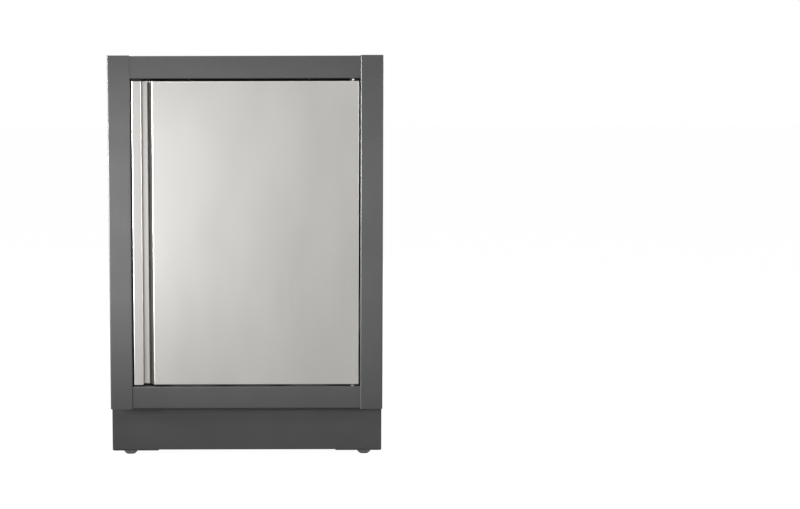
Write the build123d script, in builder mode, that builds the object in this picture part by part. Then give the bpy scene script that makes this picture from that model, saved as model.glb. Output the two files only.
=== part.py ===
from build123d import *
from math import pi, sqrt
import os

# Propane tank cabinet: a folded frame on a set-back plinth with an inset door.
# The origin is under the middle of the cabinet, on the ground. The front faces -Y. Millimetres.
os.makedirs("parts", exist_ok=True)

# Whole cabinet
cabinet_w = 610.0
cabinet_d = 610.0
frame_h = 790.0
kick_h = 100.0
kick_back = 38.0
foot_show = 13.0
overrun = 1.0

# Frame tubes
post_w = 50.0
rail_h = 50.0
tube_wall = 2.0
tube_corner_r = 2.5
tube_inner_r = 0.8
rail_back = 1.5
rail_step = 3.5
rail_end_step = 1.3
cap_t = 2.0

# Pressed panels
panel_back = 6.0
panel_t = 1.2
panel_flange = 18.0
panel_bend_r = 1.6

# Doorway and door
door_side_gap = 3.5
door_top_gap = 5.5
door_bottom_gap = 4.2
door_back = 1.0
door_t = 28.0
skin_t = 1.2
pan_t = 1.0

# Hinge axis, measured from the door's right edge and front face
hinge_in = 12.0
hinge_back = 8.0
pin_r = 3.5
running_gap = 0.05
bush_body_r = 5.0
bush_flange_r = 6.5
bush_flange_t = 1.0

# Levelling feet and the brackets that they turn in
foot_in = 38.0
stem_r = 5.0
bracket_t = 2.0

# Blind rivets and screws
rivet_r = 2.0
rivet_head_r = 4.0
rivet_head_h = 1.2
rivet_tail_r = 2.8
rivet_tail_h = 2.4
rivet_hole_gap = 0.1
rivet_head_round_share = 0.8

# Places that follow from the sizes above
half_w = cabinet_w / 2
half_d = cabinet_d / 2
plinth_z = foot_show + bracket_t
frame_z = plinth_z + kick_h
frame_top = frame_z + frame_h
frame_mid = frame_z + frame_h / 2
post_at_x = half_w - post_w / 2
post_at_y = half_d - post_w / 2
bay_w = cabinet_w - 2 * post_w
bay_d = cabinet_d - 2 * post_w
low_rail_z = frame_z + rail_end_step
low_rail_top = low_rail_z + rail_h
top_rail_top = frame_top - rail_end_step
top_rail_z = top_rail_top - rail_h
bay_h = top_rail_z - low_rail_top
bay_mid = (top_rail_z + low_rail_top) / 2
rail_d = post_w - rail_back - rail_step
rail_at_x = half_w - rail_back - rail_d / 2
rail_at_y = half_d - rail_back - rail_d / 2
door_x0 = door_side_gap - bay_w / 2
door_x1 = bay_w / 2 - door_side_gap
door_z0 = low_rail_top + door_bottom_gap
door_z1 = top_rail_z - door_top_gap
door_h = door_z1 - door_z0
door_face = door_back - half_d
door_rear = door_face + door_t
hinge_x = door_x1 - hinge_in
hinge_y = door_face + hinge_back
rivet_hole_r = rivet_r + rivet_hole_gap


def save(piece, name):
    """Names a finished piece and writes its STEP file."""
    piece.part.label = name
    export_step(piece.part, f"parts/{name}.step")


def facing_y(y):
    """Plane at y whose sketches read x, z. Its normal is -Y."""
    return Plane.XZ.offset(-y)


def facing_x(x):
    """Plane at x whose sketches read y, z. Its normal is +X."""
    return Plane.YZ.offset(x)


def at_z(z):
    """Plane at z whose sketches read x, y."""
    return Plane.XY.offset(z)


# Holes shared by the frame tubes and what is riveted or bolted to them
panel_mid = panel_back + panel_flange / 2
rivet_rise_share = 0.38
rivet_run_share = 0.3
rivet_heights = [-rivet_rise_share * bay_h, 0, rivet_rise_share * bay_h]
rivet_runs = [-rivet_run_share * bay_d, rivet_run_share * bay_d]
gang_hole_r = 4.5
gang_rise = 600.0
gang_heights = [frame_mid - gang_rise / 2, frame_mid + gang_rise / 2]
top_screw_r = 3.5
top_screw_end = 55.0
top_screw_run = bay_d - 2 * top_screw_end
wall_reach = 2 * (tube_wall + overrun)


def make_post(name, side_x, side_y):
    """Square tube. Holes take the panel rivets and the bolts that join cabinets side by side."""
    x, y = side_x * post_at_x, side_y * post_at_y
    with BuildPart() as post:
        with BuildSketch(at_z(frame_z)):
            with Locations((x, y)):
                RectangleRounded(post_w, post_w, tube_corner_r)
                RectangleRounded(post_w - 2 * tube_wall, post_w - 2 * tube_wall, tube_inner_r,
                                 mode=Mode.SUBTRACT)
        extrude(amount=frame_h)
        with BuildSketch(facing_x(x)):
            with Locations(*[(y, z) for z in gang_heights]):
                Circle(gang_hole_r)
        extrude(amount=post_w / 2 + overrun, both=True, mode=Mode.SUBTRACT)
        with BuildSketch(facing_y(side_y * bay_d / 2)):
            with Locations(*[(side_x * (half_w - panel_mid), bay_mid + h) for h in rivet_heights]):
                Circle(rivet_hole_r)
        extrude(amount=wall_reach / 2, both=True, mode=Mode.SUBTRACT)
        if side_y > 0:
            with BuildSketch(facing_x(side_x * bay_w / 2)):
                with Locations(*[(half_d - panel_mid, bay_mid + h) for h in rivet_heights]):
                    Circle(rivet_hole_r)
            extrude(amount=wall_reach / 2, both=True, mode=Mode.SUBTRACT)
    save(post, name)


for post_name, post_side_x, post_side_y in [
    ("front_post_left", -1, -1),
    ("front_post_right", 1, -1),
    ("rear_post_left", -1, 1),
    ("rear_post_right", 1, 1),
]:
    make_post(post_name, post_side_x, post_side_y)

# Post end caps, pressed into both ends of each post
cap_gap = 0.2
cap_w = post_w - 2 * tube_wall - 2 * cap_gap
with BuildPart() as post_end_caps:
    for cap_z in (frame_z, frame_top - cap_t):
        with BuildSketch(at_z(cap_z)):
            with GridLocations(2 * post_at_x, 2 * post_at_y, 2, 2):
                RectangleRounded(cap_w, cap_w, tube_inner_r)
        extrude(amount=cap_t)
save(post_end_caps, "post_end_caps")


# Rails between the posts
def rail_section():
    """Closed tube section, drawn about the middle of the sketch plane's placed location."""
    RectangleRounded(rail_d, rail_h, tube_corner_r)
    RectangleRounded(rail_d - 2 * tube_wall, rail_h - 2 * tube_wall, tube_inner_r,
                     mode=Mode.SUBTRACT)


def make_cross_rail(name, side_y, z_low, rivet_z):
    """Rail across the front or the rear. rivet_z is its face towards the panel, or None."""
    z_mid = z_low + rail_h / 2
    with BuildPart() as rail:
        with BuildSketch(facing_x(-bay_w / 2)):
            with Locations((side_y * rail_at_y, z_mid)):
                rail_section()
        extrude(amount=bay_w)
        if rivet_z is not None:
            with BuildSketch(at_z(rivet_z)):
                with Locations(*[(run, half_d - panel_mid) for run in rivet_runs]):
                    Circle(rivet_hole_r)
            extrude(amount=wall_reach / 2, both=True, mode=Mode.SUBTRACT)
        if side_y < 0:
            with BuildSketch(at_z(top_rail_z if z_low > frame_mid else low_rail_top)):
                with Locations((hinge_x, hinge_y)):
                    Circle(bush_body_r if z_low > frame_mid else pin_r)
            extrude(amount=wall_reach / 2, both=True, mode=Mode.SUBTRACT)
    save(rail, name)


def make_side_rail(name, side_x, z_low, rivet_z):
    """Rail along one side. The top ones have through holes for screws up into a worktop."""
    z_mid = z_low + rail_h / 2
    with BuildPart() as rail:
        with BuildSketch(facing_y(-bay_d / 2)):
            with Locations((side_x * rail_at_x, z_mid)):
                rail_section()
        extrude(amount=-bay_d)
        with BuildSketch(at_z(rivet_z)):
            with Locations(*[(side_x * (half_w - panel_mid), run) for run in rivet_runs]):
                Circle(rivet_hole_r)
        extrude(amount=wall_reach / 2, both=True, mode=Mode.SUBTRACT)
        if z_low > frame_mid:
            with BuildSketch(at_z(z_mid)):
                with Locations((side_x * rail_at_x, -top_screw_run / 2),
                               (side_x * rail_at_x, top_screw_run / 2)):
                    Circle(top_screw_r)
            extrude(amount=rail_h / 2 + overrun, both=True, mode=Mode.SUBTRACT)
    save(rail, name)


make_cross_rail("front_rail_top", -1, top_rail_z, None)
make_cross_rail("front_rail_bottom", -1, low_rail_z, None)
make_cross_rail("rear_rail_top", 1, top_rail_z, top_rail_z)
make_cross_rail("rear_rail_bottom", 1, low_rail_z, low_rail_top)
for rail_side, rail_side_x in (("left", -1), ("right", 1)):
    make_side_rail(f"{rail_side}_rail_top", rail_side_x, top_rail_z, top_rail_z)
    make_side_rail(f"{rail_side}_rail_bottom", rail_side_x, low_rail_z, low_rail_top)

# Side and back panels: folded pans with vent slots
vent_l = 110.0
vent_h = 6.0
vent_col_pitch = 145.0
vent_row_pitch = 14.0
vent_edge = 45.0
vent_cols = 3
low_vent_rows = 6
high_vent_rows = 3

# Hose hole and its grommet, near the top rear of each side
hose_hole_r = 25.0
hose_bore_r = 16.0
hose_from_rear = 110.0
hose_from_top = 150.0
grommet_lip_r = 29.0
grommet_lip_t = 3.4
grommet_edge_r = 1.5
hose_y = bay_d / 2 - hose_from_rear
hose_z = top_rail_z - hose_from_top

# Each panel is drawn on its outer face, with its first axis level and its second upwards
side_planes = {
    "left": Plane(origin=(panel_back - half_w, 0, bay_mid), x_dir=(0, -1, 0), z_dir=(-1, 0, 0)),
    "right": Plane(origin=(half_w - panel_back, 0, bay_mid), x_dir=(0, 1, 0), z_dir=(1, 0, 0)),
}
back_plane = Plane(origin=(0, half_d - panel_back, bay_mid), x_dir=(-1, 0, 0), z_dir=(0, 1, 0))


def make_panel(name, face, run, hose_at):
    """Folded pan, its flanges turned inwards. hose_at is the hose hole's place on the face."""
    flange_mid = -panel_flange / 2
    across = [face.location * Location((0, h, flange_mid), (0, 90, 0)) for h in rivet_heights]
    upright = [face.location * Location((r, 0, flange_mid), (90, 0, 0)) for r in rivet_runs]
    with BuildPart() as panel:
        with BuildSketch(face):
            Rectangle(run, bay_h)
        extrude(amount=-panel_flange)
        fillet(panel.faces().sort_by(Axis(face.origin, face.z_dir))[-1].edges(), panel_bend_r)
        with BuildSketch(face.offset(-panel_t)):
            Rectangle(run - 2 * panel_t, bay_h - 2 * panel_t)
        extrude(amount=-panel_flange, mode=Mode.SUBTRACT)
        with BuildSketch(face):
            for rows, side in ((low_vent_rows, -1), (high_vent_rows, 1)):
                block_mid = bay_h / 2 - vent_edge - (rows - 1) * vent_row_pitch / 2
                with Locations((0, side * block_mid)):
                    with GridLocations(vent_col_pitch, vent_row_pitch, vent_cols, rows):
                        SlotOverall(vent_l, vent_h)
            if hose_at is not None:
                with Locations(hose_at):
                    Circle(hose_hole_r)
        extrude(amount=-(panel_t + overrun), mode=Mode.SUBTRACT)
        with Locations(*across):
            Cylinder(rivet_hole_r, run + 2 * overrun, mode=Mode.SUBTRACT)
        with Locations(*upright):
            Cylinder(rivet_hole_r, bay_h + 2 * overrun, mode=Mode.SUBTRACT)
    save(panel, name)


for panel_side, panel_plane in side_planes.items():
    hose_u = panel_plane.to_local_coords(Vector(0, hose_y, 0)).X
    make_panel(f"side_panel_{panel_side}", panel_plane, bay_d, (hose_u, hose_z - bay_mid))
make_panel("back_panel", back_plane, bay_w, None)


def make_grommet(name, face):
    """Rubber ring with a groove that takes the panel's edge."""
    hose_u = face.to_local_coords(Vector(0, hose_y, 0)).X
    axis_at = face.location * Location((hose_u, hose_z - bay_mid, -panel_t / 2))
    with BuildPart() as grommet:
        with Locations(axis_at):
            Cylinder(grommet_lip_r, panel_t + 2 * grommet_lip_t)
            fillet(grommet.edges().filter_by(GeomType.CIRCLE), grommet_edge_r)
            Cylinder(grommet_lip_r + overrun, panel_t, mode=Mode.SUBTRACT)
            Cylinder(hose_hole_r, panel_t)
            Cylinder(hose_bore_r, panel_t + 2 * grommet_lip_t, mode=Mode.SUBTRACT)
    save(grommet, name)


for grommet_side, grommet_plane in side_planes.items():
    make_grommet(f"hose_grommet_{grommet_side}", grommet_plane)

# Floor panel: folded pan between the bottom rails, with a seat for the tank
floor_drop = 2.0
floor_t = 2.0
floor_flange = 25.0
notch_gap = 1.0
floor_z = low_rail_top - floor_drop
floor_w = 2 * (rail_at_x - rail_d / 2)
floor_d = 2 * (rail_at_y - rail_d / 2)
floor_notch = rail_step + notch_gap

ring_bore_r = 108.0
ring_wall = 3.0
ring_h = 24.0
ring_flange = 18.0
ring_foot_t = 3.0
ring_screw_count = 4
ring_screw_r = 2.5
ring_screw_at = ring_bore_r + ring_wall + ring_flange / 2
ring_start_angle = 45
drain_r = 11.0
drain_ring_r = 62.0
drain_count = 6
floor_vent_l = 120.0
floor_vent_h = 8.0
floor_vent_edge = 40.0

with BuildPart() as floor_panel:
    with BuildSketch(at_z(floor_z)):
        Rectangle(floor_w, floor_d)
        with GridLocations(floor_w - floor_notch, floor_d - floor_notch, 2, 2):
            Rectangle(floor_notch, floor_notch, mode=Mode.SUBTRACT)
    extrude(amount=-floor_flange)
    with BuildSketch(at_z(floor_z - floor_t)):
        Rectangle(floor_w - 2 * floor_t, floor_d - 2 * floor_t)
        with GridLocations(floor_w - floor_notch - floor_t, floor_d - floor_notch - floor_t, 2, 2):
            Rectangle(floor_notch + floor_t, floor_notch + floor_t, mode=Mode.SUBTRACT)
    extrude(amount=-floor_flange, mode=Mode.SUBTRACT)
    with BuildSketch(at_z(floor_z)):
        Circle(drain_r)
        with PolarLocations(drain_ring_r, drain_count):
            Circle(drain_r)
        with PolarLocations(ring_screw_at, ring_screw_count, start_angle=ring_start_angle):
            Circle(ring_screw_r)
        with GridLocations(floor_w / 2, floor_d - 2 * floor_vent_edge, 2, 2):
            SlotOverall(floor_vent_l, floor_vent_h)
    extrude(amount=-(floor_t + overrun), mode=Mode.SUBTRACT)
save(floor_panel, "floor_panel")

# Tank ring: rolled angle that keeps the tank's foot ring in place
with BuildPart() as tank_ring:
    with BuildSketch(Plane.XZ):
        with BuildLine():
            Polyline(
                (ring_bore_r, floor_z),
                (ring_bore_r + ring_wall + ring_flange, floor_z),
                (ring_bore_r + ring_wall + ring_flange, floor_z + ring_foot_t),
                (ring_bore_r + ring_wall, floor_z + ring_foot_t),
                (ring_bore_r + ring_wall, floor_z + ring_h),
                (ring_bore_r, floor_z + ring_h),
                close=True,
            )
        make_face()
    revolve(axis=Axis.Z)
    with BuildSketch(at_z(floor_z)):
        with PolarLocations(ring_screw_at, ring_screw_count, start_angle=ring_start_angle):
            Circle(ring_screw_r)
    extrude(amount=ring_foot_t, mode=Mode.SUBTRACT)
save(tank_ring, "tank_ring")

ring_head_r = 4.6
ring_head_h = 2.6
ring_head_round = 1.4
ring_screw_below = 8.0
with BuildPart() as tank_ring_screws:
    with BuildSketch(at_z(floor_z + ring_foot_t)):
        with PolarLocations(ring_screw_at, ring_screw_count, start_angle=ring_start_angle):
            Circle(ring_head_r)
    extrude(amount=ring_head_h)
    fillet(tank_ring_screws.faces().group_by(Axis.Z)[-1].edges(), ring_head_round)
    with BuildSketch(at_z(floor_z + ring_foot_t)):
        with PolarLocations(ring_screw_at, ring_screw_count, start_angle=ring_start_angle):
            Circle(ring_screw_r)
    extrude(amount=-(ring_foot_t + ring_screw_below))
save(tank_ring_screws, "tank_ring_screws")

# Plinth: four folded channels set back under the frame
plinth_t = 2.0
plinth_bend_r = 1.6
plinth_flange = 25.0
kick_face = kick_back - half_d
stem_hole_gap = 0.8
bracket_w = 103.0
bracket_edge = 1.3
bracket_rivet_out = 34.0
foot_x = half_w - foot_in
foot_front_y = kick_face + foot_in
foot_rear_y = half_d - foot_in
foot_places = {
    "front_left": (-1, -1, foot_front_y),
    "front_right": (1, -1, foot_front_y),
    "rear_left": (-1, 1, foot_rear_y),
    "rear_right": (1, 1, foot_rear_y),
}
plinth_run = half_d - kick_face
plinth_mid = (half_d + kick_face) / 2
flange_mid = plinth_flange / 2


def bracket_rivet_places(side_x, side_y, foot_y):
    """The two rivets of a foot bracket: one in the side channel, one in the front or rear one."""
    end_y = kick_face if side_y < 0 else half_d
    return [
        (side_x * (half_w - flange_mid), foot_y - side_y * bracket_rivet_out),
        (side_x * (foot_x - bracket_rivet_out), end_y - side_y * flange_mid),
    ]


all_bracket_rivets = [
    place for foot in foot_places.values() for place in bracket_rivet_places(*foot)
]


def make_plinth_bar(name, face, web_run, flange_run):
    """Folded channel drawn on its outer face. Its flanges stop short of the corners."""
    flange_depth = plinth_flange - plinth_t
    with BuildPart() as bar:
        with BuildSketch(face):
            Rectangle(web_run, kick_h)
        extrude(amount=-plinth_t)
        with BuildSketch(face.offset(-plinth_t)):
            with GridLocations(flange_run, kick_h - plinth_t, 1, 2):
                Rectangle(flange_run, plinth_t)
        extrude(amount=-flange_depth)
        web = bar.faces().sort_by(Axis(face.origin, face.z_dir))[-1]
        fillet(web.edges().filter_by(Axis(face.origin, face.x_dir)), plinth_bend_r)
        with BuildSketch(at_z(plinth_z)):
            with Locations(*all_bracket_rivets):
                Circle(rivet_hole_r)
        extrude(amount=plinth_t, mode=Mode.SUBTRACT)
    save(bar, name)


plinth_z_mid = plinth_z + kick_h / 2
side_web = plinth_run - 2 * plinth_t
side_flange = plinth_run - 2 * plinth_flange
end_flange = cabinet_w - 2 * plinth_flange
make_plinth_bar(
    "kick_plate",
    Plane(origin=(0, kick_face, plinth_z_mid), x_dir=(1, 0, 0), z_dir=(0, -1, 0)),
    cabinet_w, end_flange,
)
make_plinth_bar(
    "plinth_rear",
    Plane(origin=(0, half_d, plinth_z_mid), x_dir=(-1, 0, 0), z_dir=(0, 1, 0)),
    cabinet_w, end_flange,
)
make_plinth_bar(
    "plinth_left",
    Plane(origin=(-half_w, plinth_mid, plinth_z_mid), x_dir=(0, -1, 0), z_dir=(-1, 0, 0)),
    side_web, side_flange,
)
make_plinth_bar(
    "plinth_right",
    Plane(origin=(half_w, plinth_mid, plinth_z_mid), x_dir=(0, 1, 0), z_dir=(1, 0, 0)),
    side_web, side_flange,
)


def make_foot_bracket(name, side_x, side_y, foot_y):
    """Square plate under the plinth's corner, drilled for the foot's stem."""
    edge_y = kick_face + bracket_edge if side_y < 0 else half_d - bracket_edge
    with BuildPart() as bracket:
        with BuildSketch(at_z(foot_show)):
            with Locations((side_x * (half_w - bracket_edge - bracket_w / 2),
                            edge_y - side_y * bracket_w / 2)):
                Rectangle(bracket_w, bracket_w)
            with Locations((side_x * foot_x, foot_y)):
                Circle(stem_r + stem_hole_gap, mode=Mode.SUBTRACT)
            with Locations(*bracket_rivet_places(side_x, side_y, foot_y)):
                Circle(rivet_hole_r, mode=Mode.SUBTRACT)
        extrude(amount=bracket_t)
    save(bracket, name)


for foot_name, foot_place in foot_places.items():
    make_foot_bracket(f"foot_bracket_{foot_name}", *foot_place)

foot_spots = [(side_x * foot_x, foot_y) for side_x, _, foot_y in foot_places.values()]

# Weld nuts on top of the foot brackets
nut_flats = 17.0
nut_h = 8.0
with BuildPart() as foot_nuts:
    with BuildSketch(at_z(plinth_z)):
        with Locations(*foot_spots):
            RegularPolygon(nut_flats / 2, 6, major_radius=False)
            Circle(stem_r + running_gap, mode=Mode.SUBTRACT)
    extrude(amount=nut_h)
save(foot_nuts, "foot_nuts")

# Levelling feet: a hexagonal screw turns on a bevelled glide
glide_r = 11.5
glide_t = 2.0
glide_bevel = 1.0
turn_gap = 0.1
hex_flats = 25.4
hex_seat_gap = 0.3
hex_bevel = 1.0
pilot_r = 3.0
pilot_l = 1.2
stem_l = 40.0
stem_tip = 1.0
hex_z = glide_t + turn_gap
hex_t = foot_show - hex_seat_gap - hex_z


def make_foot(name, x, y):
    """One levelling foot, as its glide and its screw."""
    with BuildPart() as glide:
        with BuildSketch(at_z(0)):
            with Locations((x, y)):
                Circle(glide_r)
        extrude(amount=glide_t)
        chamfer(glide.edges().group_by(Axis.Z)[0], glide_bevel)
        with BuildSketch(at_z(glide_t)):
            with Locations((x, y)):
                Circle(pilot_r + running_gap)
        extrude(amount=-(pilot_l + turn_gap), mode=Mode.SUBTRACT)
    save(glide, f"foot_glide_{name}")
    with BuildPart() as screw:
        with BuildSketch(at_z(hex_z)):
            with Locations((x, y)):
                RegularPolygon(hex_flats / 2, 6, major_radius=False)
        extrude(amount=hex_t)
        chamfer(screw.edges().group_by(Axis.Z)[0], hex_bevel)
        with BuildSketch(at_z(hex_z)):
            with Locations((x, y)):
                Circle(pilot_r)
        extrude(amount=-pilot_l)
        with BuildSketch(at_z(hex_z + hex_t)):
            with Locations((x, y)):
                Circle(stem_r)
        extrude(amount=stem_l)
        chamfer(screw.edges().group_by(Axis.Z)[-1], stem_tip)
    save(screw, f"foot_screw_{name}")


for foot_name, foot_spot in zip(foot_places, foot_spots):
    make_foot(foot_name, *foot_spot)


# Blind rivets of the panels and of the foot brackets
def blind_rivet(grip):
    """Blind rivet on Z: domed head above zero, shank down through the grip, tail beyond it."""
    with BuildPart() as rivet:
        with BuildSketch(Plane.XZ):
            with BuildLine():
                Polyline((0, rivet_head_h), (rivet_r, rivet_head_h))
                ThreePointArc((rivet_r, rivet_head_h),
                              ((rivet_r + rivet_head_r) / 2, rivet_head_round_share * rivet_head_h),
                              (rivet_head_r, 0))
                Polyline(
                    (rivet_head_r, 0),
                    (rivet_r, 0),
                    (rivet_r, -grip),
                    (rivet_tail_r, -grip),
                    (rivet_r, -grip - rivet_tail_h),
                    (0, -grip - rivet_tail_h),
                    (0, rivet_head_h),
                )
            make_face()
        revolve(axis=Axis.Z)
    return rivet.part


def panel_rivet_places():
    """Locations of the panel rivets. Each looks out of the flange, towards the cabinet's inside."""
    places = []
    for side in (-1, 1):
        flange_x = side * (half_w - panel_mid)
        for end in (-1, 1):
            turn = (end * 90, 0, 0)
            inner_y = end * (bay_d / 2 - panel_t)
            places += [Location((flange_x, inner_y, bay_mid + h), turn) for h in rivet_heights]
            flip = (0, 0, 0) if end < 0 else (180, 0, 0)
            inner_z = bay_mid + end * (bay_h / 2 - panel_t)
            places += [Location((flange_x, run, inner_z), flip) for run in rivet_runs]
    flange_y = half_d - panel_mid
    for end in (-1, 1):
        turn = (0, -end * 90, 0)
        inner_x = end * (bay_w / 2 - panel_t)
        places += [Location((inner_x, flange_y, bay_mid + h), turn) for h in rivet_heights]
        flip = (0, 0, 0) if end < 0 else (180, 0, 0)
        inner_z = bay_mid + end * (bay_h / 2 - panel_t)
        places += [Location((run, flange_y, inner_z), flip) for run in rivet_runs]
    return places


panel_rivet = blind_rivet(panel_t + tube_wall)
with BuildPart() as panel_rivets:
    with Locations(*panel_rivet_places()):
        add(panel_rivet)
save(panel_rivets, "panel_rivets")

bracket_rivet = blind_rivet(bracket_t + plinth_t)
with BuildPart() as bracket_rivets:
    with Locations(*[Location((x, y, foot_show), (180, 0, 0)) for x, y in all_bracket_rivets]):
        add(bracket_rivet)
save(bracket_rivets, "bracket_rivets")

# Door skin: one folded sheet. At the left it slopes back to the floor of the finger channel
channel_d = 23.0
lip_w = 20.7
lip_gap = 13.3
slope_run = 11.2
skin_bend_r = 2.0
channel_bend_r = 3.0
channel_y = door_face + channel_d
lip_x1 = door_x0 + lip_w
slope_foot = lip_x1 + lip_gap
panel_x0 = slope_foot + slope_run
with BuildPart() as door_skin:
    with BuildSketch(at_z(door_z0)):
        with BuildLine():
            Polyline(
                (door_x0, channel_y),
                (slope_foot, channel_y),
                (panel_x0, door_face),
                (door_x1, door_face),
                (door_x1, door_rear),
                (door_x0, door_rear),
                close=True,
            )
        make_face()
    extrude(amount=door_h)
    fillet(door_skin.faces().sort_by(Axis.Y)[0].edges(), skin_bend_r)
    foot_line = (slope_foot, channel_y, door_z0 + door_h / 2)
    fillet(door_skin.edges().sort_by_distance(foot_line)[0], channel_bend_r)
    offset(amount=-skin_t, openings=door_skin.faces().sort_by(Axis.Y)[-1])
    for hinge_z in (door_z0, door_z1):
        with BuildSketch(at_z(hinge_z)):
            with Locations((hinge_x, hinge_y)):
                Circle(bush_body_r)
        extrude(amount=skin_t + overrun, both=True, mode=Mode.SUBTRACT)
save(door_skin, "door_skin")

# Handle lip: folded strip whose free edge turns back over the channel
lip_t = 1.2
lip_foot = 12.0
lip_hem = 7.0
lip_tilt = 1.0
with BuildPart() as handle_lip:
    with BuildSketch(at_z(door_z0)):
        with BuildLine():
            FilletPolyline(
                (door_x0 + lip_foot, channel_y),
                (door_x0, channel_y),
                (door_x0, door_face),
                (lip_x1, door_face + lip_tilt),
                (lip_x1, door_face + lip_tilt + lip_hem),
                radius=skin_bend_r,
            )
            offset(amount=lip_t, side=Side.LEFT)
        make_face()
    extrude(amount=door_h)
save(handle_lip, "handle_lip")

# Inner pan: closes the door's back, with flanges turned forwards inside the skin
pan_flange = 12.0
pan_left_gap = 4.0
pan_x1 = door_x1 - skin_t
pan_z0 = door_z0 + skin_t
pan_z1 = door_z1 - skin_t
pan_face = door_rear - pan_t
pan_top_x0 = panel_x0 + pan_left_gap

# Top pin and its travel, from which the knob's slot follows
pin_engage = 9.0
pin_free = 2.0
pin_travel = pin_engage + bush_flange_t + pin_free
ear_t = 2.0
ear_span = 50.0
pin_below_ear = 14.0
knob_r = 2.5
knob_head_r = 5.0
knob_head_l = 6.0
knob_out = 5.0
knob_gap = 0.5
top_ear_z = door_z1 - skin_t - ear_t
low_ear_z = top_ear_z - ear_span
knob_z = low_ear_z - pin_below_ear / 2
slot_end = knob_r + knob_gap
slot_w = 2 * slot_end
slot_top = knob_z + slot_end
slot_bottom = knob_z - pin_travel - slot_end

with BuildPart() as door_inner_pan:
    with BuildSketch(facing_y(pan_face)):
        with Locations(((door_x0 + skin_t + pan_x1) / 2, (pan_z0 + pan_z1) / 2)):
            Rectangle(pan_x1 - door_x0 - skin_t, pan_z1 - pan_z0)
    extrude(amount=-pan_t)
    with BuildSketch(facing_y(pan_face)):
        with Locations((pan_x1 - pan_t / 2, (pan_z0 + pan_z1) / 2)):
            Rectangle(pan_t, pan_z1 - pan_z0)
        for edge_z in (pan_z0 + pan_t / 2, pan_z1 - pan_t / 2):
            with Locations(((pan_top_x0 + pan_x1) / 2, edge_z)):
                Rectangle(pan_x1 - pan_top_x0, pan_t)
    extrude(amount=pan_flange)
    with BuildSketch(facing_y(pan_face)):
        with Locations((hinge_x, (slot_top + slot_bottom) / 2)):
            SlotOverall(slot_top - slot_bottom, slot_w, rotation=90)
    extrude(amount=-(pan_t + overrun), mode=Mode.SUBTRACT)
save(door_inner_pan, "door_inner_pan")

# Stiffeners: two hat sections between the skin and the inner pan
hat_t = 1.0
hat_crown = 26.0
hat_foot = 14.0
hat_bend_r = 1.6
hat_pitch = 170.0
hat_end_gap = 20.0
hat_top_y = door_face + skin_t + hat_t
with BuildPart() as door_stiffeners:
    with BuildSketch(at_z(pan_z0 + hat_end_gap)):
        with Locations((-hat_pitch / 2, 0), (hat_pitch / 2, 0)):
            with BuildLine():
                FilletPolyline(
                    (-hat_crown / 2 - hat_foot, pan_face),
                    (-hat_crown / 2, pan_face),
                    (-hat_crown / 2, hat_top_y),
                    (hat_crown / 2, hat_top_y),
                    (hat_crown / 2, pan_face),
                    (hat_crown / 2 + hat_foot, pan_face),
                    radius=hat_bend_r,
                )
                offset(amount=hat_t, side=Side.RIGHT)
            make_face()
    extrude(amount=pan_z1 - pan_z0 - 2 * hat_end_gap)
save(door_stiffeners, "door_stiffeners")

# Pin brackets: a channel in each right-hand corner of the door carries the pivot
ear_l = 19.0
bracket_web_t = 2.0
ear_front = door_face + skin_bend_r
ear_depth = 2 * (hinge_y - ear_front)
ear_right = pan_x1
ear_left = ear_right - ear_l
low_bracket_h = 24.0


def make_pin_bracket(name, z_low, z_high, outer_ear_z):
    """Two ears on a web against the door's right wall. The outer ear is bored for the bush."""
    with BuildPart() as bracket:
        with BuildSketch(facing_y(ear_front)):
            with Locations(((ear_left + ear_right) / 2, (z_low + z_high) / 2)):
                Rectangle(ear_l, z_high - z_low)
            with Locations(((ear_left + ear_right - bracket_web_t) / 2, (z_low + z_high) / 2)):
                Rectangle(ear_l - bracket_web_t, z_high - z_low - 2 * ear_t, mode=Mode.SUBTRACT)
        extrude(amount=-ear_depth)
        with BuildSketch(at_z(z_low)):
            with Locations((hinge_x, hinge_y)):
                Circle(pin_r + running_gap)
        extrude(amount=z_high - z_low, mode=Mode.SUBTRACT)
        with BuildSketch(at_z(outer_ear_z)):
            with Locations((hinge_x, hinge_y)):
                Circle(bush_body_r)
        extrude(amount=ear_t, mode=Mode.SUBTRACT)
    save(bracket, name)


make_pin_bracket("top_pin_bracket", low_ear_z - ear_t, top_ear_z + ear_t, top_ear_z)
bottom_ear_z = door_z0 + skin_t
make_pin_bracket("bottom_pin_bracket", bottom_ear_z, bottom_ear_z + low_bracket_h, bottom_ear_z)


def make_bush(name, flange_z, up, body_l):
    """Flanged plastic bush on the hinge axis. up is 1 if the body goes up from the flange."""
    with BuildPart() as bush:
        with BuildSketch(at_z(flange_z)):
            with Locations((hinge_x, hinge_y)):
                Circle(bush_flange_r)
        extrude(amount=-up * bush_flange_t)
        with BuildSketch(at_z(flange_z)):
            with Locations((hinge_x, hinge_y)):
                Circle(bush_body_r)
        extrude(amount=up * body_l)
        with BuildSketch(at_z(flange_z - up * bush_flange_t)):
            with Locations((hinge_x, hinge_y)):
                Circle(pin_r + running_gap)
        extrude(amount=up * (bush_flange_t + body_l), mode=Mode.SUBTRACT)
    save(bush, name)


rail_bush_l = 5.0
make_bush("door_top_bush", door_z1, -1, skin_t + ear_t)
make_bush("door_bottom_bush", door_z0, 1, skin_t + ear_t)
make_bush("rail_top_bush", top_rail_z, 1, rail_bush_l)

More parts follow.
